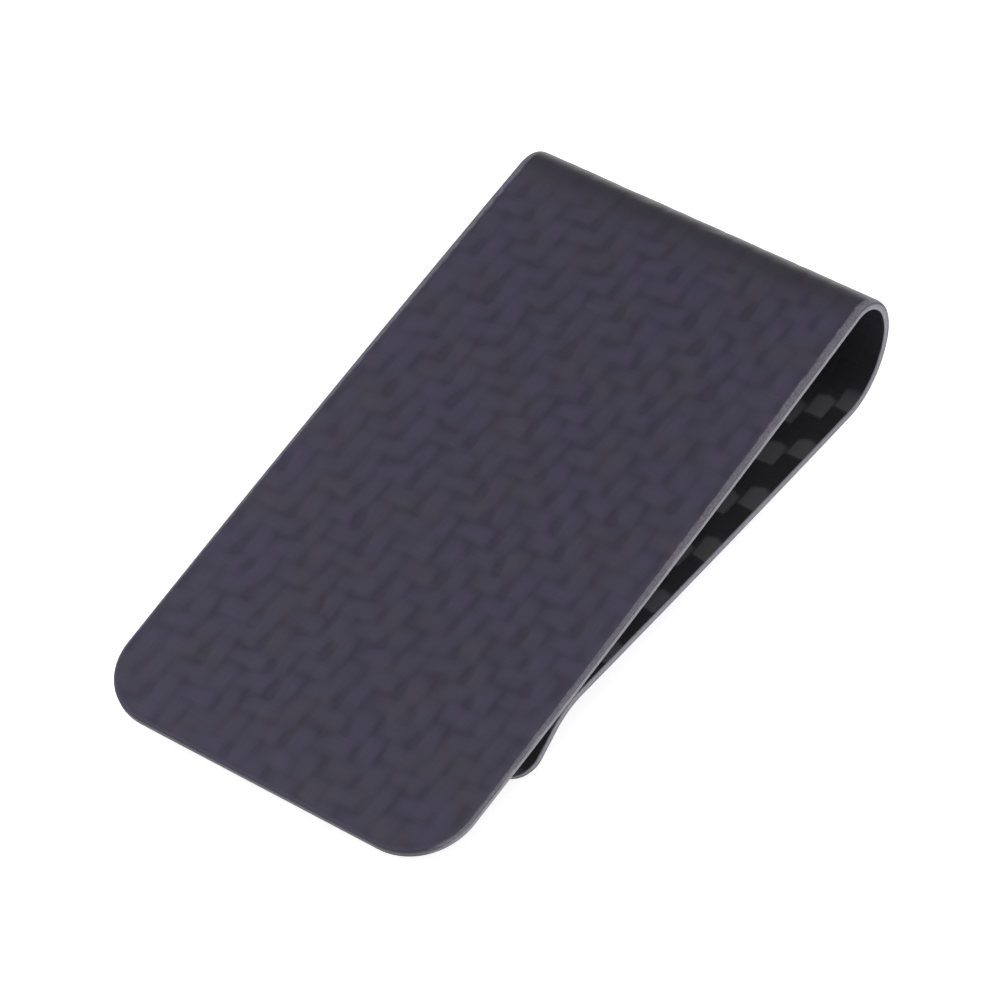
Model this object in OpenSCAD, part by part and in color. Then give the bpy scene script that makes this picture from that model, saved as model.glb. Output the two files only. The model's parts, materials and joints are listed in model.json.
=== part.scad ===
// Money clip moulded from one strip of woven carbon laminate and bent into a spring.
// A flat front plate runs into a round bend; a straight back arm comes back from the bend,
// closes on the underside of the plate at the throat and flares away in a short lip.
// The strip is four plies cured together. Each ply is cut at the outermost point of the bend,
// where the clip hinges: the back halves lie still and the front halves swing open.
// Shapes are drawn in the plate's own plane (x from the free end to the bend, z = 0 on the
// outer face) and then laid down on the bend and the lip, as the clip rests on a table.

/* [Strip] */
// Width of the strip, across the clip
strip_w = 38; // [30:0.5:50]
// Length from the free end of the front plate to the outside of the bend
clip_l = 68.5; // [60:0.5:90]
// Corner radius at the free end of the front plate
plate_corner_r = 6; // [2:0.5:12]

/* [Plies] */
// Thickness of each woven ply, outermost and innermost
twill_t = 0.25; // [0.2:0.01:0.3]
// Thickness of each of the two straight-fibre plies in the middle
core_t = 0.175; // [0.125:0.005:0.225]

/* [Bend] */
// Outer radius of the bend where it leaves the front plate
bend_front_r = 3.65; // [3:0.05:4.5]
// Outer radius of the bend where it runs into the back arm
bend_back_r = 6.7; // [5:0.1:7.5]

/* [Back arm] */
// Distance from the free end to the throat, where the arm closes on the plate
throat_x = 20; // [16:0.5:30]
// Clearance between the plate and the arm at the throat
throat_gap = 0.05; // [0.02:0.01:0.3]
// Radius of the outer face of the curve at the throat
throat_r = 6.75; // [4:0.25:12]
// Angle at which the lip flares away from the plate
lip_angle = 21; // [10:1:35]
// Straight length of the lip beyond the throat curve
lip_l = 5.7; // [4:0.1:9]
// Corner radius at the end of the lip
lip_corner_r = 3; // [1.5:0.5:5]

/* [Hidden] */
$fn = 96;

// Depth below the outer face at which each ply starts and ends
laminate_t = 2 * (twill_t + core_t);
ply_depths = [0, twill_t, twill_t + core_t, twill_t + 2 * core_t, laminate_t];

// Centres of the two bend curves, which meet on one line with the hinge, and of the throat curve
front_c = [clip_l - bend_front_r, -bend_front_r];
back_c = [clip_l - bend_back_r, -bend_front_r];
throat_c = [throat_x, -2 * laminate_t - throat_gap - throat_r];

// Angle of the straight arm: the common tangent under the bend and over the throat curve
to_bend = back_c - throat_c;
arm_angle = asin((bend_back_r + throat_r) / norm(to_bend)) - atan2(to_bend[1], to_bend[0]);
arm_start = back_c + bend_back_r * [-sin(arm_angle), -cos(arm_angle)];
arm_end = throat_c + throat_r * [sin(arm_angle), cos(arm_angle)];
arm_l = norm(arm_start - arm_end);
lip_start = throat_c + throat_r * [-sin(lip_angle), cos(lip_angle)];
lip_end = lip_start + lip_l * [-cos(lip_angle), -sin(lip_angle)];

// Resting tilt: the clip stands on the round of the bend and on the end of the lip
to_rest = back_c - lip_end;
rest_tilt = asin(bend_back_r / norm(to_rest)) - atan2(to_rest[1], to_rest[0]);
rest_x = (back_c[0] * cos(rest_tilt) - back_c[1] * sin(rest_tilt) + bend_back_r) / 2;
rest_z = back_c[0] * sin(rest_tilt) + back_c[1] * cos(rest_tilt) - bend_back_r;

// Overlap that joins a straight stretch to the curve beside it
lap = 0.01;
// Overcut of the tools that round the corners
cut = 1;

// Moves a shape from the plate's own plane to the resting pose, origin under the middle
module at_rest() {
    translate([-rest_x, 0, -rest_z]) rotate([0, -rest_tilt, 0]) children();
}

// Turns a side profile into a strip of the full width
module across() {
    rotate([90, 0, 0]) linear_extrude(strip_w, center = true) children();
}

// Band between two radii, from one angle to another
module arc_band(r_out, r_in, a_from, a_to) {
    reach = 2 * r_out;
    fan = [for (i = [0:3]) let (a = a_from + (a_to - a_from) * i / 3) reach * [cos(a), sin(a)]];
    intersection() {
        difference() {
            circle(r_out);
            circle(r_in);
        }
        polygon(concat([[0, 0]], fan));
    }
}

// Side profile of the front half of a ply that lies between two depths
module front_profile(d0, d1) {
    translate([0, -d1]) square([clip_l - bend_front_r, d1 - d0]);
    translate(front_c) arc_band(bend_front_r - d0, bend_front_r - d1, 0, 90);
}

// Side profile of the back half: bend, straight arm, throat curve and lip
module back_profile(d0, d1) {
    translate(back_c) arc_band(bend_back_r - d0, bend_back_r - d1, -90 - arm_angle, 0);
    translate(arm_start) rotate(180 - arm_angle) translate([-lap, -d1]) square([arm_l + 2 * lap, d1 - d0]);
    translate(throat_c) arc_band(throat_r + d1, throat_r + d0, 90 - arm_angle, 90 + lip_angle);
    translate(lip_start) rotate(180 + lip_angle) translate([-lap, -d1]) square([lip_l + lap, d1 - d0]);
}

// Cutter that rounds one corner: the corner is at the origin, the strip towards +x and -y
module corner_cutter(r) {
    difference() {
        translate([-cut, -r, -2 * cut]) cube([r + cut, r + cut, 4 * cut]);
        translate([r, -r, -3 * cut]) cylinder(r = r, h = 6 * cut);
    }
}

// Both corner cutters of an end
module end_cutters(r) {
    for (side = [0, 1]) mirror([0, side, 0]) translate([0, strip_w / 2, 0]) corner_cutter(r);
}

// Front half of ply number i, counted from the outer face
module front_ply(i) {
    at_rest() difference() {
        across() front_profile(ply_depths[i], ply_depths[i + 1]);
        end_cutters(plate_corner_r);
    }
}

// Back half of ply number i, counted from the outer face
module back_ply(i) {
    at_rest() difference() {
        across() back_profile(ply_depths[i], ply_depths[i + 1]);
        translate([lip_end[0], 0, lip_end[1]]) rotate([0, -lip_angle, 0]) end_cutters(lip_corner_r);
    }
}

module outer_twill_front() { color([0.25, 0.24, 0.3]) front_ply(0); }
module outer_core_front() { color([0.2, 0.2, 0.21]) front_ply(1); }
module inner_core_front() { color([0.16, 0.16, 0.17]) front_ply(2); }
module inner_twill_front() { color([0.1, 0.1, 0.11]) front_ply(3); }
module outer_twill_back() { color([0.25, 0.24, 0.3]) back_ply(0); }
module outer_core_back() { color([0.2, 0.2, 0.21]) back_ply(1); }
module inner_core_back() { color([0.16, 0.16, 0.17]) back_ply(2); }
module inner_twill_back() { color([0.1, 0.1, 0.11]) back_ply(3); }

outer_twill_front();
outer_core_front();
inner_core_front();
inner_twill_front();
outer_twill_back();
outer_core_back();
inner_core_back();
inner_twill_back();
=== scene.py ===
import json
import math

import bpy
import numpy as np
from mathutils import Matrix, Vector


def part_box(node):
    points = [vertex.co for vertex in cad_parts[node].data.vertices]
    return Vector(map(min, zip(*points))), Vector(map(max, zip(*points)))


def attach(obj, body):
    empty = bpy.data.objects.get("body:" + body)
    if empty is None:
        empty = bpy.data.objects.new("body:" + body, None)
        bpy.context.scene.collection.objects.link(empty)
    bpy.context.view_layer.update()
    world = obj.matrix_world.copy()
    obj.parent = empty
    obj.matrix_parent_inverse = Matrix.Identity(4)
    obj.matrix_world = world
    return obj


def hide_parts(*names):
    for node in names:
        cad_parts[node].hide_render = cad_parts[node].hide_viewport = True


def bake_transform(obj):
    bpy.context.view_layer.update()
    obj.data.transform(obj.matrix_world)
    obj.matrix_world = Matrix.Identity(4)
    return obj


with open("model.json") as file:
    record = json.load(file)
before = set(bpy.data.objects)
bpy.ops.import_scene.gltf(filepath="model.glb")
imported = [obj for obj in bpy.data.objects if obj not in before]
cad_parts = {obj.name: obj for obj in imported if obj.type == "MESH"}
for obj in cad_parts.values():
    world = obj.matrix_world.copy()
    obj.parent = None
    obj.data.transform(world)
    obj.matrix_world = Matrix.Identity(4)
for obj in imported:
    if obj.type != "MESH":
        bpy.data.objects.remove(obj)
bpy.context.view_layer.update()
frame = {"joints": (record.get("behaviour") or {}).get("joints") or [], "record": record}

# Money clip moulded from one strip of woven carbon laminate. The strip is four plies thick and
# runs plate, bend, arm. Every ply is built here as three closed meshes, one for each of those,
# which share their edge points. Lengths are millimetres in the strip's own flat layout: along is
# the distance over the outer face from the free end of the plate, across is the row's y axis, and
# depth goes in from the outer face. to_row() turns the plate's own plane into the row frame.

# ------------------------------------------------------------------ sizes, in millimetres
MM = 0.001

TWILL_T = 0.25
CORE_T = 0.175
LAMINATE_T = 2 * (TWILL_T + CORE_T)
MIDDLE = LAMINATE_T / 2

CLIP_LENGTH = 68.5
BEND_FRONT_R = 3.65
BEND_BACK_R = 6.7
THROAT_X = 20
THROAT_GAP = 0.05
THROAT_R = 6.75
LIP_ANGLE = math.radians(21)
LIP_LENGTH = 5.7
PLATE_CORNER_R = 6
LIP_CORNER_R = 3

HALF_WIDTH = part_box("outer_twill_front")[1].y / MM
WIDEST_X = 22  # the strip is a little wider here than at its free end and near the bend
WIDER = 0.27
TAPER = 0.00022
BULGE = 0.2  # and it widens again round the end of the bend
BULGE_PLACE, BULGE_REACH = 6.5, 3.5  # centred this far past the plate, spread this far

OUTER_ROUND = 0.26  # edge rounding, outside and inside; the outside one grows to the bend
INNER_ROUND = 0.1
PLATE_GROWTH = 2.4  # by how many times the outside rounding grows along the plate
ARM_GROWTH = 1  # and on the arm
INNER_GROWTH = 0.4  # how much wider the inside rounding is on the arm
BOND_GROOVE = 0.012  # how far the cut edge dips in at each bond line
DARK_LINE = TWILL_T + 0.02  # depth of the bond line that shows, under the outer cloth
FAINTER_FROM, FAINTER_TO = 37, 43  # it gets fainter over the bend, counted in crosswise tows
ROUND_STEPS = 5

TOW_ACROSS = 2.02  # tow pitch of the cloth
TOW_ALONG = 1.815
CLOTH_VALUES = 128  # how many random values the cloth draws, used over and over
OUTER_RELIEF = 0.085  # depth of the weave's relief
INNER_RELIEF = 0.03
RELIEF_FADE = 0.7  # the ground edge has no relief
SIDE_FADE = 8  # and the cloth lies flatter this near the edge
SIDE_RELIEF = 0.72  # keeping this share of its relief at the edge itself
BEND_RELIEF = 0.4  # and this share in the bend
BEND_ZONE_EARLY, BEND_ZONE_RISE = 2.8, 5.2  # the resin-rich zone, also painted darker as painted shade, starts this far before the bend
BEND_ZONE_SHORT, BEND_ZONE_FALL = 1, 3  # and stops this far before the arm; it rises and falls slowly
END_CUT = 0.15  # the two ends show little of the lighter ground edge colour and stay darker, the sides all of it

GRID = 0.2  # mesh spacing on the woven faces
COARSE_GRID = 4.2  # and on the flat bonded faces, across and along


# ------------------------------------------------------------------ places, from the record
def mount_axis(name):
    mount = next(m for m in frame["record"]["mounts"] if m["name"] == name)
    return Vector(mount["axis"])


plate_normal = mount_axis("front_face")
arm_normal = mount_axis("back_arm_face")
TILT = math.atan2(-plate_normal.x, plate_normal.z)
ARM_ANGLE = math.atan2(-arm_normal.x, -arm_normal.z) + TILT

hinge = Vector(frame["joints"][0]["pos_m"]) / MM
TO_ROW = Matrix.Rotation(-TILT, 3, "Y")
FREE_END = hinge - TO_ROW @ Vector((CLIP_LENGTH, 0, -BEND_FRONT_R))


def to_row(points):
    """Row-frame metres of points given in millimetres in the plate's own plane."""
    return (points @ np.array(TO_ROW).T + np.array(FREE_END)) * MM


def arm_length():
    """Straight length of the arm, the crossed tangent of the bend's and the throat's circles."""
    across = CLIP_LENGTH - BEND_BACK_R - THROAT_X
    up = 2 * LAMINATE_T + THROAT_GAP + THROAT_R - BEND_FRONT_R
    return math.sqrt(across**2 + up**2 - (BEND_BACK_R + THROAT_R) ** 2)


# Lengths and curvatures of the outer face, in order from the free end of the plate
PLATE = [(CLIP_LENGTH - BEND_FRONT_R, 0)]
BEND = [
    (BEND_FRONT_R * math.pi / 2, -1 / BEND_FRONT_R),
    (BEND_BACK_R * (math.pi / 2 + ARM_ANGLE), -1 / BEND_BACK_R),
]
ARM = [
    (arm_length(), 0),
    (THROAT_R * (ARM_ANGLE + LIP_ANGLE), 1 / THROAT_R),
    (LIP_LENGTH, 0),
]
PLATE_END = sum(length for length, _ in PLATE)
BEND_END = PLATE_END + sum(length for length, _ in BEND)
STRIP_END = BEND_END + sum(length for length, _ in ARM)


def strip_point(along, across, depth):
    """Points of the strip in the plate's own plane, one row of three numbers for each input."""
    along, across, depth = np.broadcast_arrays(along, across, depth)
    x = np.zeros(along.shape)
    z = np.zeros(along.shape)
    heading = np.zeros(along.shape)
    start, turned = 0.0, 0.0
    for length, curve in PLATE + BEND + ARM:
        run = np.clip(along - start, 0, length)
        if curve:
            x += (np.sin(turned + curve * run) - math.sin(turned)) / curve
            z -= (np.cos(turned + curve * run) - math.cos(turned)) / curve
        else:
            x += run * math.cos(turned)
            z += run * math.sin(turned)
        heading += curve * run
        start += length
        turned += curve * length
    x += depth * np.sin(heading)
    z -= depth * np.cos(heading)
    return np.stack([x, across, z], axis=-1)


# ------------------------------------------------------------------ the cloth
# A float's height, in relief depths: how much it arches along its length and crowns across it
LENGTHWISE_ARCH, LENGTHWISE_CROWN = 0.28, 0.45
CROSSWISE_ARCH, CROSSWISE_CROWN = 0.34, 0.26
TOW_VARIES = 0.05  # by how much tows differ in height
MELT = 0.6  # how softly two floats meet
LEAN = 0.08  # how far a crosswise float leans, in tows for each tow of its length
FLOAT_TOP = 1.1  # height of the resin surface over the floats
HOLLOW_SPAN = 0.6  # and how far below it counts as a full hollow
SMEAR = 0.1  # how far the resin evens out the cloth, in tows


def wander(along, across, seed, reach):
    """A smooth irregular field, about -1 to 1, that varies over about reach millimetres."""
    rng = np.random.default_rng(seed)
    waves = 9
    total = 0
    for _ in range(waves):
        direction, phase = rng.uniform(0, 2 * math.pi, 2)
        run = along * math.cos(direction) + across * math.sin(direction)
        total = total + np.sin(run * 2 * math.pi / (reach * rng.uniform(0.7, 1.6)) + phase)
    return total * math.sqrt(2 / waves) / 2


def tow_count(along, across, cloth):
    """Where a point lies in the cloth, counted in lengthwise and in crosswise tows."""
    seed, start_along, start_across = cloth
    lengthwise = (across + start_across) / TOW_ACROSS
    lengthwise = lengthwise + 0.1 * wander(along, across, seed, 14)
    lengthwise = lengthwise + 0.08 * wander(along, across, seed + 1, 4)
    crosswise = (along + start_along) / TOW_ALONG
    crosswise = crosswise + 0.12 * wander(along, across, seed + 2, 16)
    crosswise = crosswise + 0.1 * wander(along, across, seed + 3, 5)
    return lengthwise, crosswise


def weave_height(lengthwise, crosswise, seed):
    """Height of the cloth, a 2x2 twill whose lengthwise tows stand out more: about 1.1 on the
    floats, 0.9 between them, and less in the pit at one end of every crosswise float."""
    rng = np.random.default_rng(seed + 7)
    uneven = rng.uniform(-TOW_VARIES, TOW_VARIES, (2, CLOTH_VALUES))
    i = np.floor(lengthwise).astype(int)
    j = np.floor(crosswise).astype(int)
    lengthwise_float = LENGTHWISE_ARCH * np.cos((crosswise - i) * math.pi / 2)
    lengthwise_float += uneven[0][i % CLOTH_VALUES]
    lengthwise_float += LENGTHWISE_CROWN * (1 - np.abs(2 * (lengthwise - i) - 1) ** 5)
    in_float = np.clip((lengthwise - j - 1.5) % 4 - 1.5, -1.2, 1.2)
    leaning = crosswise + LEAN * in_float
    j = np.floor(leaning).astype(int)
    crosswise_float = CROSSWISE_ARCH * np.cos((lengthwise - j - 3) * math.pi / 2)
    crosswise_float += uneven[1][j % CLOTH_VALUES]
    crosswise_float += CROSSWISE_CROWN * (1 - np.abs(2 * (leaning - j) - 1) ** 3.5)
    gap = lengthwise_float - crosswise_float
    top = (lengthwise_float + crosswise_float + np.sqrt(gap**2 + MELT**2)) / 2
    deep = 0.3 + 1.7 * rng.random(CLOTH_VALUES) ** 2
    shallow = 0.05 + 0.16 * rng.random(CLOTH_VALUES)
    creased = 0.03 + 0.15 * rng.random(CLOTH_VALUES)
    top -= pits(lengthwise, crosswise, 1, 0.12, (0.16, 0.45), deep)
    top -= pits(lengthwise, crosswise, 3, 0.0, (0.22, 0.7), shallow)
    return top - folds(lengthwise, leaning, creased)


def folds(lengthwise, crosswise, depths):
    """The crease along one side of every crosswise float."""
    side = np.round(crosswise).astype(int)
    off_side = np.abs(crosswise - side) / 0.2
    off_float = (lengthwise - side - 1) % 4 - 2
    middle = np.round(lengthwise - off_float).astype(int)
    deep = depths[(7 * side + 3 * middle) % CLOTH_VALUES]
    return deep * np.exp(-off_side**2 - (np.abs(off_float) / 0.85) ** 3)


def pits(lengthwise, crosswise, kind, shift, half_size, depths):
    """Dips on the lines between lengthwise tows, one for every fourth crosswise tow."""
    line = np.round(lengthwise - shift).astype(int)
    total = 0
    for step in (-1, 0, 1):
        tow = np.floor(crosswise).astype(int) + step
        here = (line - 1 - tow) % 4 == kind
        off_line = np.abs(lengthwise - line - shift) / half_size[0]
        off_tow = np.abs(crosswise - tow - 0.5) / half_size[1]
        deep = depths[(5 * line + 11 * tow) % CLOTH_VALUES]
        total = total + here * deep * np.exp(-off_line**2 - off_tow**3)
    return total


def hollow(along, across, cloth):
    """How far the resin surface lies below the floats, from 0 to about 1; it is smoother than
    the cloth."""
    lengthwise, crosswise = tow_count(along, across, cloth)
    offsets = np.linspace(-SMEAR, SMEAR, 5)
    total = 0
    for shift_l in offsets:
        for shift_c in offsets:
            total = total + weave_height(lengthwise + shift_l, crosswise + shift_c, cloth[0])
    below = np.clip((FLOAT_TOP - total / len(offsets) ** 2) / HOLLOW_SPAN, 0, 1.4)
    middling = 0.35
    contrast = np.clip(1 + 0.55 * wander(along, across, cloth[0] + 5, 3.5), 0.4, 1.8)
    return np.clip(middling + (below - middling) * contrast, 0, 1.5)


def half_width(along):
    """Half width of the strip. It follows the plate's length, also round the bend and back."""
    reach = strip_point(along, 0.0, 0.0)[..., 0]
    bulge = BULGE * np.exp(-(((along - PLATE_END - BULGE_PLACE) / BULGE_REACH) ** 2))
    return HALF_WIDTH + WIDER - TAPER * (reach - WIDEST_X) ** 2 + bulge


def edge_distance(along, across):
    """Distance from the outline of the strip, which has rounded corners at both ends."""
    side = half_width(along) - np.abs(across)
    distance = side
    for from_end, corner in ((along, PLATE_CORNER_R), (STRIP_END - along, LIP_CORNER_R)):
        over_x = np.maximum(corner - from_end, 0)
        over_y = np.maximum(corner - side, 0)
        rounded = corner - np.hypot(over_x, over_y)
        distance = np.where(from_end < corner, np.minimum(distance, rounded), distance)
    return distance


def smooth(share):
    share = np.clip(share, 0, 1)
    return share * share * (3 - 2 * share)


def bend_share(along):
    """1 in the bend and 0 on plate and arm. The mould leaves more resin on the cloth there, and the
    materials darken the skin there: partly painted shade on the outside, wholly painted shade
    inside.
    """
    begun = smooth((along - PLATE_END + BEND_ZONE_EARLY) / BEND_ZONE_RISE)
    return begun * smooth((BEND_END - BEND_ZONE_SHORT - along) / BEND_ZONE_FALL)


def past_bend(along):
    """0 on the plate and 1 on the arm."""
    return smooth((along - PLATE_END) / (BEND_END - PLATE_END))


def lower_side(along, depth):
    """How far down the strip's thickness a point lies as the clip stands, from 0 to 1. The outer
    face is up on the plate and down on the arm."""
    return 0.5 + (depth / LAMINATE_T - 0.5) * np.cos(math.pi * past_bend(along))


def relief_share(along, across):
    """How much of the weave's relief shows: none on the ground edge, less near it and less in
    the bend than in the middle of the plate."""
    from_edge = edge_distance(along, across)
    inward = SIDE_RELIEF + (1 - SIDE_RELIEF) * smooth(from_edge / SIDE_FADE)
    in_bend = 1 - (1 - BEND_RELIEF) * bend_share(along)
    return smooth(from_edge / RELIEF_FADE) * inward * in_bend


# ------------------------------------------------------------------ the outline
class Rows:
    """Lines across the strip. At an end they fan round its corners: base is the line of the
    corner centres and turn the angle round them, a quarter turn for every other row."""

    def __init__(self, base, turn, end, corner):
        self.base = np.array(base, float)
        self.turn = np.array(turn, float)
        self.end = end
        self.corner = corner
        reach = strip_point(self.base, 0.0, 0.0)[..., 0] / CLIP_LENGTH
        on_arm = past_bend(self.base)
        self.growth = 1 + reach * (PLATE_GROWTH + (ARM_GROWTH - PLATE_GROWTH) * on_arm)
        self.inner_growth = 1 + INNER_GROWTH * on_arm
        self.ground = END_CUT + (1 - END_CUT) * np.sin(self.turn) ** 4

    def outline(self, inset, depth):
        """Place along the strip and half width of every row, the outline moved in by inset."""
        inner_edge = depth > LAMINATE_T - TWILL_T + BOND_GROOVE
        inset = inset * (self.inner_growth if inner_edge else self.growth)
        along = self.base - np.cos(self.turn) * (self.corner - inset) * self.end
        lost = self.corner * (1 - np.sin(self.turn)) + inset * np.sin(self.turn)
        return along, half_width(self.base) - lost


def spaced(start, end, step):
    return np.linspace(start, end, max(1, round((end - start) / step)) + 1)


def quarter_turn(corner):
    """Angles round a corner, spaced a little wider than the grid."""
    return spaced(0, math.pi / 2, 1.4 * GRID / corner)


def plate_rows(step):
    corner = PLATE_CORNER_R
    quarter = quarter_turn(corner)
    straight = spaced(corner, PLATE_END, step)[1:]
    base = [corner] * len(quarter) + list(straight)
    turn = list(quarter) + [math.pi / 2] * len(straight)
    return Rows(base, turn, 1, corner)


def bend_rows(step):
    """Never coarser than the grid, because the strip is curved here."""
    base = [PLATE_END]
    for length, _ in BEND:
        base += list(spaced(base[-1], base[-1] + length, min(step, GRID))[1:])
    return Rows(base, [math.pi / 2] * len(base), 1, 0)


def arm_rows(step):
    """Straight length, curved throat and lip; the throat is never coarser than the grid."""
    corner = LIP_CORNER_R
    straight = list(spaced(BEND_END, BEND_END + ARM[0][0], step))
    straight += list(spaced(straight[-1], straight[-1] + ARM[1][0], min(step, GRID))[1:])
    straight += list(spaced(straight[-1], STRIP_END - corner, step)[1:])
    quarter = quarter_turn(corner)[::-1][1:]
    base = straight + [STRIP_END - corner] * len(quarter)
    turn = [math.pi / 2] * len(straight) + list(quarter)
    return Rows(base, turn, -1, corner)


# ------------------------------------------------------------------ cut edges
def edge_profile(start, end):
    """(inset, depth, cut) from a ply's upper face to its lower one. cut is 0 on the skin and 1
    where the edge is ground back to the fibres."""
    if start == 0:
        profile = rounding(OUTER_ROUND)
    else:
        profile = [(BOND_GROOVE, start, 1), (0, start + BOND_GROOVE, 1)]
    if end == LAMINATE_T:
        low = [(inset, LAMINATE_T - depth, cut) for inset, depth, cut in rounding(INNER_ROUND)]
        profile += low[::-1]
    else:
        profile += [(0, end - BOND_GROOVE, 1), (BOND_GROOVE, end, 1)]
    return profile


def rounding(width):
    """The rounded edge between a face and the cut side."""
    height = min(width, TWILL_T - 2 * BOND_GROOVE)
    steps = np.linspace(0, math.pi / 2, ROUND_STEPS + 1)
    return [
        (width * (1 - math.sin(a)), height * (1 - math.cos(a)), math.sin(a) ** 0.7)
        for a in steps
    ]


# ------------------------------------------------------------------ meshes
FACE, WALL, CAP, BOND = range(4)


def ply_mesh(name, rows, fractions, kept, start, end, cloth, seams):
    """Closed mesh of a ply between two depths. rows and fractions place the grid; the bonded
    faces keep only some of its columns. seams says which end rows meet another piece."""
    count, width = len(rows.base), len(fractions)
    woven_top, woven_low = start == 0, end == LAMINATE_T
    profile = edge_profile(start, end)
    depth_span = end - start
    all_columns = np.arange(width)
    loop = boundary_loop(count, width)

    along, across, depth, cut, points = [], [], [], [], []
    total = 0

    def add(row, column, inset, at_depth, cut_here):
        """Adds points and returns their numbers."""
        nonlocal total
        line, half = rows.outline(inset, at_depth)
        line, half = line[row], half[row]
        side = fractions[column] * half
        relief = hollow(line, side, cloth) * relief_share(line, side)
        if woven_top:
            sunk = at_depth + relief * OUTER_RELIEF * (end - at_depth) / depth_span
        elif woven_low:
            sunk = at_depth - relief * INNER_RELIEF * (at_depth - start) / depth_span
        else:
            sunk = np.full(line.shape, float(at_depth))
        along.append(line)
        across.append(side)
        depth.append(np.full(line.shape, float(at_depth)))
        cut.append(cut_here * rows.ground[row])
        points.append(strip_point(line, side, sunk))
        numbers = total + np.arange(line.size)
        total += line.size
        return numbers

    def sheet(inset, at_depth, cut_here, woven):
        """One face of the ply, as a table of point numbers with -1 where a column is left out."""
        table = np.full((count, width), -1)
        for row in range(count):
            whole = woven or row in (0, count - 1)
            table[row, all_columns if whole else kept] = 0
        row, column = np.nonzero(table == 0)
        table[row, column] = add(row, column, inset, at_depth, cut_here)
        return table

    upper = sheet(*profile[0], woven_top)
    lower = sheet(*profile[-1], woven_low)
    rings = [upper[loop[:, 0], loop[:, 1]]]
    for inset, at_depth, cut_here in profile[1:-1]:
        rings.append(add(loop[:, 0], loop[:, 1], inset, at_depth, cut_here))
    rings.append(lower[loop[:, 0], loop[:, 1]])

    faces, kinds = [], []
    for table, woven, flip in ((upper, woven_top, False), (lower, woven_low, True)):
        new = sheet_faces(table, all_columns if woven else kept)
        faces += [face[::-1] for face in new] if flip else new
        kinds += [FACE if woven else BOND] * len(new)
    at_seam = seam_edges(loop, count, seams)
    for above, below in zip(rings, rings[1:]):
        next_above, next_below = np.roll(above, -1), np.roll(below, -1)
        faces += np.stack([above, next_above, next_below, below], axis=1).tolist()
        kinds += [CAP if cap else WALL for cap in at_seam]

    mesh = bpy.data.meshes.new(name)
    mesh.from_pydata(to_row(np.concatenate(points)).tolist(), [], faces)
    mesh.validate()
    along, across = np.concatenate(along), np.concatenate(across)
    depth = np.concatenate(depth)
    attribute(mesh, "ply_depth", depth)
    # It lightens the lower side of the cut edges in the materials, as painted light.
    attribute(mesh, "lower", lower_side(along, depth))
    attribute(mesh, "cut", np.concatenate(cut))
    # The same amount also darkens the outer skin in its material, as painted shade in the hollows.
    sunk = hollow(along, across, cloth) * relief_share(along, across)
    attribute(mesh, "hollow", sunk)
    attribute(mesh, "bend", bend_share(along))
    cloth_map(mesh, *tow_count(along, across, cloth))
    shade(mesh, np.array(kinds))
    piece = bpy.data.objects.new(name, mesh)
    bpy.context.scene.collection.objects.link(piece)
    return piece


def boundary_loop(count, width):
    """(row, column) of every point on the edge of a grid, once round."""
    first = [(0, c) for c in range(width)]
    right = [(r, width - 1) for r in range(1, count)]
    last = [(count - 1, c) for c in range(width - 2, -1, -1)]
    left = [(r, 0) for r in range(count - 2, 0, -1)]
    return np.array(first + right + last + left)


def seam_edges(loop, count, seams):
    """Which steps of the boundary loop lie on an end row that meets another piece."""
    row = loop[:, 0]
    onward = np.roll(row, -1)
    first = (row == 0) & (onward == 0) & seams[0]
    last = (row == count - 1) & (onward == count - 1) & seams[1]
    return first | last


def sheet_faces(table, columns):
    """Faces of a grid whose inner rows may have fewer columns than its two end rows."""
    faces = []
    last = len(table) - 1
    for row in range(last):
        for left, right in zip(columns, columns[1:]):
            near = range(left, right + 1) if row == 0 else (left, right)
            far = range(left, right + 1) if row + 1 == last else (left, right)
            ring = [table[row, c] for c in near] + [table[row + 1, c] for c in reversed(far)]
            faces.append([int(n) for n in ring])
    return [face[::-1] for face in faces]


def attribute(mesh, name, values):
    layer = mesh.attributes.new(name, "FLOAT", "POINT")
    layer.data.foreach_set("value", values.astype(np.float32))


def cloth_map(mesh, lengthwise, crosswise):
    """A UV map that counts tows, for the weave in the materials."""
    corner_point = np.zeros(len(mesh.loops), np.int32)
    mesh.loops.foreach_get("vertex_index", corner_point)
    uv = np.stack([lengthwise, crosswise], axis=1)[corner_point]
    mesh.uv_layers.new(name="cloth").data.foreach_set("uv", uv.astype(np.float32).ravel())


def shade(mesh, kinds):
    """Smooth shading, sharp wherever two kinds of face meet, except from a woven face to its
    rounded edge."""
    mesh.shade_smooth()
    sizes = np.zeros(len(mesh.polygons), np.int32)
    mesh.polygons.foreach_get("loop_total", sizes)
    corner_edge = np.zeros(len(mesh.loops), np.int32)
    mesh.loops.foreach_get("edge_index", corner_edge)
    corner_kind = np.repeat(kinds, sizes)
    lowest = np.full(len(mesh.edges), 9)
    highest = np.full(len(mesh.edges), -1)
    np.minimum.at(lowest, corner_edge, corner_kind)
    np.maximum.at(highest, corner_edge, corner_kind)
    sharp = (lowest != highest) & ~((lowest == FACE) & (highest == WALL))
    layer = mesh.attributes.new("sharp_edge", "BOOLEAN", "EDGE")
    layer.data.foreach_set("value", sharp)


# ------------------------------------------------------------------ material graphs
BUMP_HEIGHT = 0.00002  # metres


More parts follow.
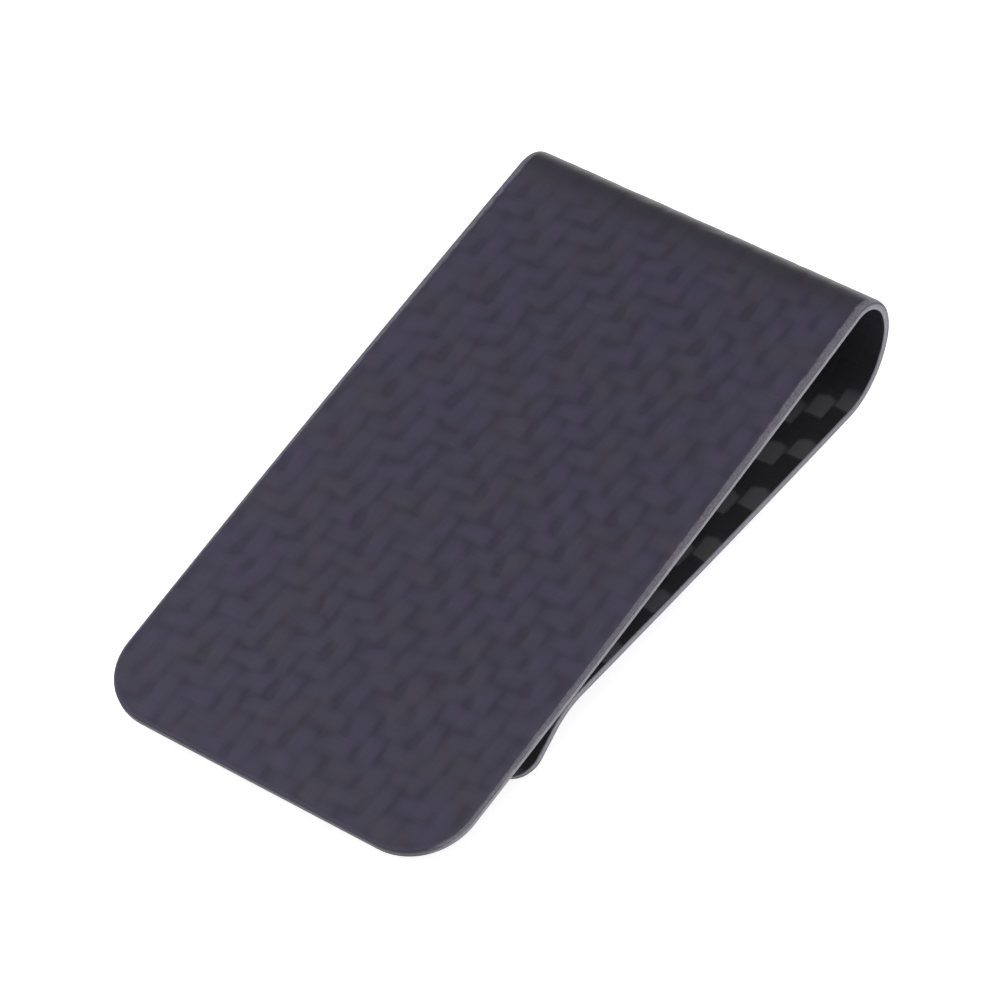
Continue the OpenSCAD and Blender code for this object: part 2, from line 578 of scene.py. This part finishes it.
class Graph:
    """A material's nodes, with short calls for the ones used here."""

    def __init__(self, name):
        self.material = bpy.data.materials.new(name)
        self.material.use_nodes = True
        self.nodes = self.material.node_tree.nodes
        self.links = self.material.node_tree.links
        self.shader = self.nodes["Principled BSDF"]

    def feed(self, socket, value):
        if isinstance(value, bpy.types.NodeSocket):
            self.links.new(value, socket)
        elif value is not None:
            socket.default_value = value

    def math(self, operation, a, b=None):
        node = self.nodes.new("ShaderNodeMath")
        node.operation = operation
        for socket, value in zip(node.inputs, (a, b)):
            self.feed(socket, value)
        return node.outputs[0]

    def attribute(self, name):
        node = self.nodes.new("ShaderNodeAttribute")
        node.attribute_name = name
        return node.outputs["Fac"]

    def tows(self):
        """Tow counts, lengthwise and crosswise."""
        node = self.nodes.new("ShaderNodeUVMap")
        node.uv_map = "cloth"
        split = self.nodes.new("ShaderNodeSeparateXYZ")
        self.links.new(node.outputs[0], split.inputs[0])
        return split.outputs[0], split.outputs[1]

    def vector(self, x, y, z=0.0):
        node = self.nodes.new("ShaderNodeCombineXYZ")
        for socket, value in zip(node.inputs, (x, y, z)):
            self.feed(socket, value)
        return node.outputs[0]

    def noise(self, vector, scale, detail=2.0, roughness=0.5):
        node = self.nodes.new("ShaderNodeTexNoise")
        node.inputs["Scale"].default_value = scale
        node.inputs["Detail"].default_value = detail
        node.inputs["Roughness"].default_value = roughness
        self.links.new(vector, node.inputs["Vector"])
        return node.outputs[0]

    def hash(self, vector):
        node = self.nodes.new("ShaderNodeTexWhiteNoise")
        node.noise_dimensions = "3D"
        self.links.new(vector, node.inputs["Vector"])
        return node.outputs["Value"]

    def blend(self, share, a, b):
        """Number mixed from a, at share 0, to b."""
        node = self.nodes.new("ShaderNodeMix")
        node.data_type = "FLOAT"
        for name, value in (("Factor", share), ("A", a), ("B", b)):
            self.feed(next(s for s in node.inputs if s.name == name), value)
        return node.outputs[0]

    def colours(self, share, a, b):
        """Colour mixed from a, at share 0, to b."""
        node = self.nodes.new("ShaderNodeMix")
        node.data_type = "RGBA"
        sockets = [s for s in node.inputs if s.enabled]
        for socket, value in zip(sockets, (share, a, b)):
            self.feed(socket, value)
        return next(s for s in node.outputs if s.enabled)

    def scaled(self, colour, factor):
        """Colour times a number."""
        node = self.nodes.new("ShaderNodeVectorMath")
        node.operation = "SCALE"
        self.feed(node.inputs[0], colour)
        self.feed(node.inputs["Scale"], factor)
        return node.outputs[0]

    def range(self, value, low, high, to_low=0.0, to_high=1.0, soft=True):
        node = self.nodes.new("ShaderNodeMapRange")
        node.interpolation_type = "SMOOTHSTEP" if soft else "LINEAR"
        for socket, number in zip(node.inputs, (value, low, high, to_low, to_high)):
            self.feed(socket, number)
        return node.outputs[0]

    def bump(self, height, strength):
        node = self.nodes.new("ShaderNodeBump")
        node.inputs["Strength"].default_value = strength
        node.inputs["Distance"].default_value = BUMP_HEIGHT
        self.links.new(height, node.inputs["Height"])
        self.links.new(node.outputs[0], self.shader.inputs["Normal"])


def twill(graph):
    """Which tow shows at a point of a 2x2 twill: 1 for a lengthwise one, a random number for
    its float, the places across it and along a lengthwise float from 0 to 1, and fibre streaks
    that run along it."""
    lengthwise, crosswise = graph.tows()
    i = graph.math("FLOOR", lengthwise)
    j = graph.math("FLOOR", crosswise)
    step = graph.math("FLOORED_MODULO", graph.math("SUBTRACT", i, j), 4.0)
    on_top = graph.math("LESS_THAN", step, 1.5)

    float_l = graph.math("FLOOR", graph.math("DIVIDE", graph.math(
        "ADD", graph.math("SUBTRACT", j, i), 1.0), 4.0))
    float_c = graph.math("FLOOR", graph.math("DIVIDE", graph.math(
        "SUBTRACT", graph.math("SUBTRACT", i, j), 2.0), 4.0))
    tone_l = graph.hash(graph.vector(i, float_l, 1.5))
    tone_c = graph.hash(graph.vector(j, float_c, 7.5))
    tone = graph.blend(on_top, tone_c, tone_l)

    place = graph.blend(on_top, graph.math("FRACT", crosswise), graph.math("FRACT", lengthwise))
    past_start = graph.math("ADD", graph.math("SUBTRACT", crosswise, i), 1.0)
    on_float = graph.math("DIVIDE", graph.math("FLOORED_MODULO", past_start, 4.0), 2.0)

    fine, slow = 18.0, 0.9
    streak_l = graph.noise(graph.vector(graph.math("MULTIPLY", lengthwise, fine),
                                        graph.math("MULTIPLY", crosswise, slow), 3.0), 1.0)
    streak_c = graph.noise(graph.vector(graph.math("MULTIPLY", lengthwise, slow),
                                        graph.math("MULTIPLY", crosswise, fine), 8.0), 1.0)
    streaks = graph.blend(on_top, streak_c, streak_l)
    return on_top, tone, place, on_float, streaks


def cut_share(graph):
    """How much of the ground edge shows. It starts along a slightly uneven line."""
    lengthwise, crosswise = graph.tows()
    uneven = graph.noise(graph.vector(crosswise, lengthwise, 9.0), 1.7, 2.0)
    start = graph.range(uneven, 0.3, 0.7, 0.08, 0.32, soft=False)
    return graph.range(graph.math("SUBTRACT", graph.attribute("cut"), start), 0.0, 0.4)


def edge_looks(graph, shade_a, shade_b):
    """Colour of the cut edge: ground fibre ends, painted lighter towards the strip's lower side as
    painted light from the floor, and the dark bond line below the outer cloth, which is fainter
    past the bend. Also the grain of the fibre ends."""
    lengthwise, crosswise = graph.tows()
    depth = graph.attribute("ply_depth")
    grain = graph.noise(graph.vector(
        graph.math("MULTIPLY", crosswise, 9.0),
        graph.math("MULTIPLY", lengthwise, 9.0),
        graph.math("MULTIPLY", depth, 26.0)), 1.0, 3.0, 0.65)
    base = graph.colours(graph.range(grain, 0.3, 0.7), shade_a, shade_b)
    # Painted light: the cut edge is lighter on the strip's lower side, as if lit from the floor.
    painted_underlight = graph.range(graph.attribute("lower"), 0.0, 1.0, 0.74, 1.35, soft=False)
    base = graph.scaled(base, painted_underlight)
    off_line = graph.math("ABSOLUTE", graph.math("SUBTRACT", depth, DARK_LINE))
    near = graph.range(off_line, 0.05, 0.13, 1.0, 0.0)
    fainter = graph.range(crosswise, FAINTER_FROM, FAINTER_TO, 1.0, 0.6)
    near = graph.math("MULTIPLY", near, fainter)
    stretches = graph.noise(graph.vector(crosswise, lengthwise, 4.0), 0.8, 2.0)
    dashes = graph.noise(graph.vector(crosswise, lengthwise, 6.0), 7.0, 2.0)
    share = graph.math("MULTIPLY", near, graph.range(stretches, 0.3, 0.5, 0.25, 1.0))
    share = graph.math("MULTIPLY", share, graph.range(dashes, 0.35, 0.6, 0.55, 1.0))
    return graph.colours(share, base, (0.045, 0.043, 0.055, 1)), grain


def satin_twill():
    """Outer ply: matte resin skin over the cloth, with painted shade in its hollows. Round the bend
    it is shinier, and darker and less purple: partly resin-rich skin, partly painted shade.
    """
    graph = Graph("satin_twill")
    on_top, tone, _, _, streaks = twill(graph)
    skin = graph.colours(on_top, (0.053, 0.0454, 0.0805, 1), (0.051, 0.0439, 0.0777, 1))
    mottle = graph.noise(graph.vector(*graph.tows()), 0.35, 3.0)
    skin = graph.colours(graph.range(mottle, 0.35, 0.75), skin, (0.0515, 0.047, 0.067, 1))
    bend = graph.attribute("bend")
    # Round the bend the skin is darker and greyer: partly resin-rich skin, partly painted shade.
    skin = graph.colours(bend, skin, (0.033, 0.03, 0.038, 1))
    shade = graph.math("MULTIPLY", graph.range(tone, 0, 1, 0.98, 1.02), graph.range(
        streaks, 0.25, 0.75, 0.93, 1.07))
    # Painted shade: the skin is darkened in the hollows between the floats and a little lightened
    # on their tops.
    sunk = graph.range(graph.attribute("hollow"), 0.0, 1.3, 1.09, 0.66, soft=False)
    skin = graph.scaled(skin, graph.math("MULTIPLY", shade, sunk))
    edge, grain = edge_looks(graph, (0.13, 0.122, 0.15, 1), (0.24, 0.228, 0.27, 1))
    cut = cut_share(graph)
    graph.feed(graph.shader.inputs["Base Color"], graph.colours(cut, skin, edge))
    rough = graph.blend(bend, graph.range(tone, 0, 1, 0.46, 0.54), 0.36)
    graph.feed(graph.shader.inputs["Roughness"], graph.blend(cut, rough, 0.5))
    graph.shader.inputs["Specular IOR Level"].default_value = 0.2
    graph.bump(graph.blend(cut, streaks, grain), 0.35)
    return graph.material


def gloss_twill():
    """Inner ply: glossy resin, over a cloth whose lengthwise floats get a painted sheen, with a
    painted glint near one end, while the others stay dark. Inside the bend the colour is dark and
    even: painted shade.
    """
    graph = Graph("gloss_twill")
    on_top, tone, place, on_float, streaks = twill(graph)
    # Painted sheen: the lengthwise floats are lighter in colour, standing in for the light their
    # fibres reflect.
    off_centre = graph.math("ABSOLUTE", graph.math("SUBTRACT", place, 0.5))
    late = graph.math("MULTIPLY", graph.math("ADD", off_centre, graph.math(
        "MULTIPLY", tone, 0.6)), 0.22)
    begun = graph.math("SUBTRACT", on_float, late)
    painted_sheen = graph.math("MULTIPLY", graph.range(begun, 0.0, 0.16), graph.range(
        on_float, 0.88, 0.96, 1.0, 0.0))
    painted_sheen = graph.math("MULTIPLY", painted_sheen, graph.range(off_centre, 0.36, 0.5, 1.0, 0.25))
    painted_sheen = graph.math("MULTIPLY", painted_sheen, on_top)
    # Painted glint near one end of each lengthwise float.
    painted_glint = graph.math("MULTIPLY", graph.range(on_float, 0.8, 0.88), 0.5)
    uneven = graph.math("MULTIPLY", graph.range(tone, 0, 1, 0.7, 1.1), graph.range(
        streaks, 0.2, 0.8, 0.75, 1.25))
    painted_sheen = graph.math("MULTIPLY", painted_sheen, graph.math("ADD", uneven, painted_glint))
    dark = graph.scaled((0.036, 0.035, 0.041), graph.range(streaks, 0.2, 0.8, 0.88, 1.12))
    skin = graph.colours(painted_sheen, dark, (0.11, 0.106, 0.115, 1))
    # Painted shade: inside the bend the skin is dark and even.
    skin = graph.colours(graph.attribute("bend"), skin, (0.034, 0.033, 0.04, 1))
    edge, grain = edge_looks(graph, (0.128, 0.123, 0.143, 1), (0.245, 0.238, 0.268, 1))
    cut = cut_share(graph)
    graph.feed(graph.shader.inputs["Base Color"], graph.colours(cut, skin, edge))
    rough = graph.blend(on_top, 0.26, 0.34)
    graph.feed(graph.shader.inputs["Roughness"], graph.blend(cut, rough, 0.5))
    graph.bump(graph.blend(cut, streaks, grain), 0.3)
    return graph.material


def core_ply(name):
    """Middle plies, of straight fibre; only their cut edge shows, dark at the two ends."""
    graph = Graph(name)
    edge, grain = edge_looks(graph, (0.125, 0.122, 0.145, 1), (0.24, 0.236, 0.275, 1))
    colour = graph.colours(graph.attribute("cut"), (0.03, 0.028, 0.036, 1), edge)
    graph.feed(graph.shader.inputs["Base Color"], colour)
    graph.feed(graph.shader.inputs["Roughness"], graph.range(grain, 0.3, 0.7, 0.45, 0.6))
    graph.bump(grain, 0.3)
    return graph.material


# ------------------------------------------------------------------ pieces
def fractions_across(step):
    return np.linspace(-1, 1, round(2 * HALF_WIDTH / step) + 1)


def build_clip():
    """Twelve pieces: four plies, each as plate, bend and arm."""
    regions = (
        ("plate", plate_rows, (False, True)),
        ("bend", bend_rows, (True, True)),
        ("arm", arm_rows, (True, False)),
    )
    plies = (
        ("outer_twill", 0, TWILL_T, satin_twill(), (11, 0.0, 0.0)),
        ("outer_core", TWILL_T, MIDDLE, core_ply("outer_core_edge"), (21, 0.0, 0.0)),
        ("inner_core", MIDDLE, LAMINATE_T - TWILL_T, core_ply("inner_core_edge"), (31, 0.0, 0.0)),
        ("inner_twill", LAMINATE_T - TWILL_T, LAMINATE_T, gloss_twill(), (41, 2.4, -1.0)),
    )
    for ply, start, end, material, cloth in plies:
        woven = start == 0 or end == LAMINATE_T
        step = GRID if woven else COARSE_GRID
        fractions = fractions_across(step)
        spacing = max(1, round(COARSE_GRID / GRID)) if woven else 1
        kept = np.unique(np.append(np.arange(0, len(fractions), spacing), len(fractions) - 1))
        for region, make_rows, seams in regions:
            rows = make_rows(step)
            piece = ply_mesh(f"{region}_{ply}", rows, fractions, kept, start, end, cloth, seams)
            piece.data.materials.append(material)
            if region == "plate":
                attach(piece, "front_plate")
                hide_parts(f"{ply}_front")
            elif region == "arm":
                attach(piece, "back_arm")
                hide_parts(f"{ply}_back")
            else:
                flex_line()
                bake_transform(piece)
                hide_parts(f"{ply}_front", f"{ply}_back")


def flex_line():
    """Points where the bend starts and stops, on a line square to the plate."""
    plate_side = strip_point(PLATE_END, 0.0, LAMINATE_T)
    arm_side = strip_point(BEND_END, 0.0, LAMINATE_T)
    arm_side[0] = plate_side[0]
    return Vector(to_row(plate_side)), Vector(to_row(arm_side))


build_clip()


# ------------------------------------------------------------------ floor, light and camera
WORLD_LOW, WORLD_HIGH = 0.15, 0.55  # brightness at the horizon and overhead
KEY_POWER, FRONT_POWER = 1.2, 1.5  # watts
FLOOR_GLOW = 0.7
FLOOR_REACH = 3.0  # metres


def paper():
    """Nearly white, and glowing a little, so that almost no shadow shows."""
    graph = Graph("paper_floor")
    grain = graph.noise(graph.nodes.new("ShaderNodeTexCoord").outputs["Object"], 40.0)
    colour = graph.colours(grain, (0.9, 0.9, 0.9, 1), (0.8865, 0.8865, 0.8865, 1))
    graph.feed(graph.shader.inputs["Base Color"], colour)
    graph.shader.inputs["Roughness"].default_value = 0.8
    graph.shader.inputs["Emission Color"].default_value = (1, 1, 1, 1)
    graph.shader.inputs["Emission Strength"].default_value = FLOOR_GLOW
    return graph.material


def add_floor():
    mesh = bpy.data.meshes.new("floor")
    reach = FLOOR_REACH
    corners = [(-reach, -reach, 0), (reach, -reach, 0), (reach, reach, 0), (-reach, reach, 0)]
    mesh.from_pydata(corners, [], [(0, 1, 2, 3)])
    mesh.materials.append(paper())
    floor = bpy.data.objects.new("floor", mesh)
    bpy.context.scene.collection.objects.link(floor)


def area_light(name, place, size, power):
    """A soft box that faces the clip; place and size are in metres."""
    data = bpy.data.lights.new(name, "AREA")
    data.shape = "RECTANGLE"
    data.size, data.size_y = size
    data.energy = power
    light = bpy.data.objects.new(name, data)
    light.location = place
    light.rotation_euler = (-Vector(place)).to_track_quat("-Z", "Y").to_euler()
    bpy.context.scene.collection.objects.link(light)


def add_light():
    """Two soft boxes in a pale room that is brighter overhead than at the horizon."""
    world = bpy.data.worlds.new("studio")
    world.use_nodes = True
    nodes, links = world.node_tree.nodes, world.node_tree.links
    direction = nodes.new("ShaderNodeTexCoord").outputs["Generated"]
    split = nodes.new("ShaderNodeSeparateXYZ")
    links.new(direction, split.inputs[0])
    height = nodes.new("ShaderNodeMapRange")
    height.inputs["From Min"].default_value = 0.0
    height.inputs["From Max"].default_value = 0.7
    height.inputs["To Min"].default_value = WORLD_LOW
    height.inputs["To Max"].default_value = WORLD_HIGH
    links.new(split.outputs["Z"], height.inputs["Value"])
    background = nodes["Background"]
    background.inputs["Color"].default_value = (0.97, 0.97, 1.0, 1)
    links.new(height.outputs[0], background.inputs["Strength"])
    bpy.context.scene.world = world
    area_light("key_box", (-0.12, 0.3, 0.36), (0.4, 0.3), KEY_POWER)
    area_light("front_box", (0.2, -0.55, 0.2), (0.5, 0.3), FRONT_POWER)


def add_camera():
    """Viewpoint from above the clip's side, in the plate's own plane: angles from its mid line,
    and millimetres."""
    azimuth, elevation, roll = math.radians(-36.64), math.radians(52.80), math.radians(-21.10)
    distance = 520.94
    aim = Vector((36, 0, 0))
    off_right, off_up = -0.14720, 2.38579
    back = Vector((math.sin(azimuth) * math.cos(elevation),
                   -math.cos(azimuth) * math.cos(elevation), math.sin(elevation)))
    level = Vector((math.cos(azimuth), math.sin(azimuth), 0))
    upright = back.cross(level)
    right = math.cos(roll) * level + math.sin(roll) * upright
    up = -math.sin(roll) * level + math.cos(roll) * upright
    place = aim + back * distance - right * off_right - up * off_up
    data = bpy.data.cameras.new("camera")
    data.sensor_width = 36
    data.lens = 213.8317
    data.clip_start = 0.01
    camera = bpy.data.objects.new("camera", data)
    axes = TO_ROW @ Matrix((right, up, back)).transposed()
    camera.matrix_world = Matrix.Translation((TO_ROW @ place + FREE_END) * MM) @ axes.to_4x4()
    bpy.context.scene.collection.objects.link(camera)
    bpy.context.scene.camera = camera


add_floor()
add_light()
add_camera()
bpy.context.scene.view_settings.view_transform = "Standard"
